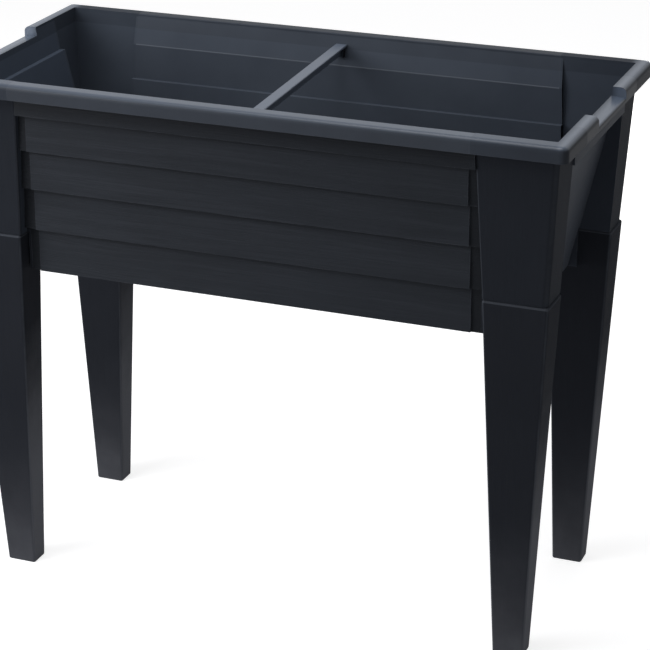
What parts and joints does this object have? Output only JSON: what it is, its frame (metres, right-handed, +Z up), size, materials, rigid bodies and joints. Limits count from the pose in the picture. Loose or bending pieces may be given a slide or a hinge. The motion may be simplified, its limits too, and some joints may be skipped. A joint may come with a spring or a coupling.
{
  "type": "raised garden bed",
  "caption": "Standing-height planter: a lapped-board trough on tapered legs, tied across by a lift-out cross bar, with hand grips in the end rims and plugged floor drains.",
  "frame": {"origin": "on the ground, under the middle of the bed", "axes": "+X along the bed to the right as seen from the front, +Y to the rear, +Z up"},
  "size_m": [0.96, 0.454, 0.8],
  "materials": {
    "graphite_resin": "matt, moulded wood grain",
    "plug_resin": "matt",
    "seal_rubber": "matt"
  },
  "bodies": {
    "bed": {"front_wall": "graphite_resin", "rear_wall": "graphite_resin", "left_end_wall": "graphite_resin", "right_end_wall": "graphite_resin", "front_left_post": "graphite_resin", "front_right_post": "graphite_resin", "rear_left_post": "graphite_resin", "rear_right_post": "graphite_resin", "front_left_leg": "graphite_resin", "front_right_leg": "graphite_resin", "rear_left_leg": "graphite_resin", "rear_right_leg": "graphite_resin", "floor_left": "graphite_resin", "floor_right": "graphite_resin", "floor_beam_left": "graphite_resin", "floor_beam_centre": "graphite_resin", "floor_beam_right": "graphite_resin"},
    "cross_bar": {"cross_bar": "graphite_resin"},
    "left_plug": {"drain_plug_left": "plug_resin", "drain_seal_left": "seal_rubber"},
    "right_plug": {"drain_plug_right": "plug_resin", "drain_seal_right": "seal_rubber"}
  },
  "joints": [
    {"name": "cross_bar_lift", "type": "slide", "parent": "bed", "child": "cross_bar", "axis": [0, 0, 1], "range_m": [0, 0.06]},
    {"name": "left_plug_pull", "type": "slide", "parent": "bed", "child": "left_plug", "axis": [0, 0, -1], "range_m": [0, 0.06]},
    {"name": "right_plug_pull", "type": "slide", "parent": "bed", "child": "right_plug", "axis": [0, 0, -1], "range_m": [0, 0.06]}
  ]
}
